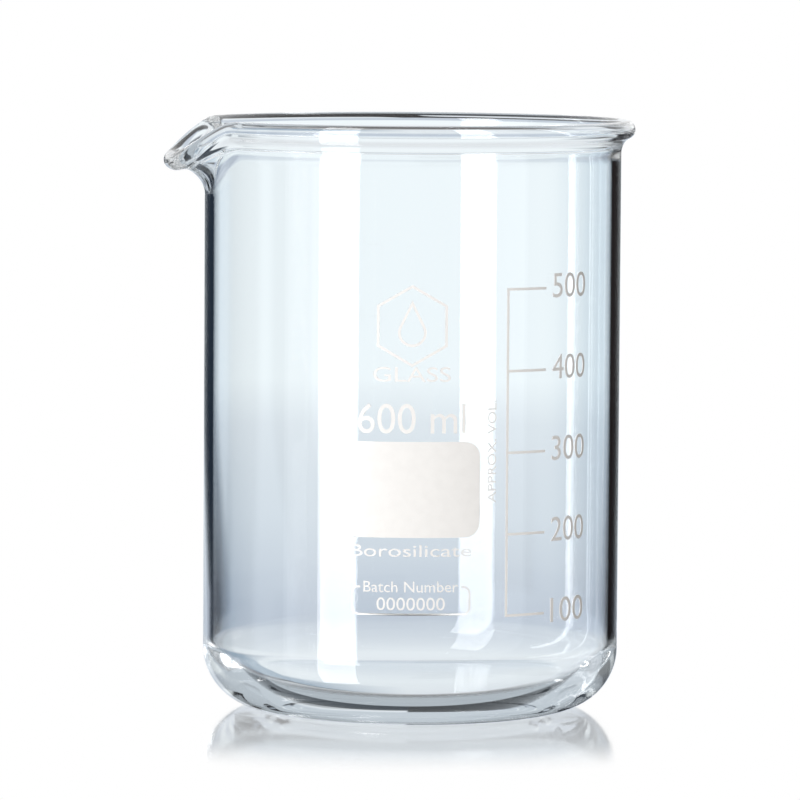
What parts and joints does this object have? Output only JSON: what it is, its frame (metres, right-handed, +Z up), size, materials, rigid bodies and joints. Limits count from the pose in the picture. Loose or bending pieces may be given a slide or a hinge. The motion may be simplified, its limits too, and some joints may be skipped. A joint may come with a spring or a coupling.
{
  "type": "beaker",
  "caption": "Low-form laboratory beaker of clear borosilicate glass with a pouring spout, a flared beaded rim and a white fired graduation print.",
  "frame": {"origin": "on the beaker's axis, in the face it stands on", "axes": "+Z up along the axis; -Y is the printed front; the spout points to -X, turned 8 degrees towards the front"},
  "size_m": [0.1018, 0.096, 0.1275],
  "materials": {
    "borosilicate": "clear, fire polished",
    "enamel": "white, satin, fired on"
  },
  "bodies": {
    "root": {"glass_vessel": "borosilicate", "emblem": "enamel", "name_line": "enamel", "capacity_mark": "enamel", "marking_field": "enamel", "material_line": "enamel", "batch_frame": "enamel", "batch_words": "enamel", "batch_digits": "enamel", "graduation_scale": "enamel", "scale_legend": "enamel", "numeral_100": "enamel", "numeral_200": "enamel", "numeral_300": "enamel", "numeral_400": "enamel", "numeral_500": "enamel"}
  },
  "joints": []
}
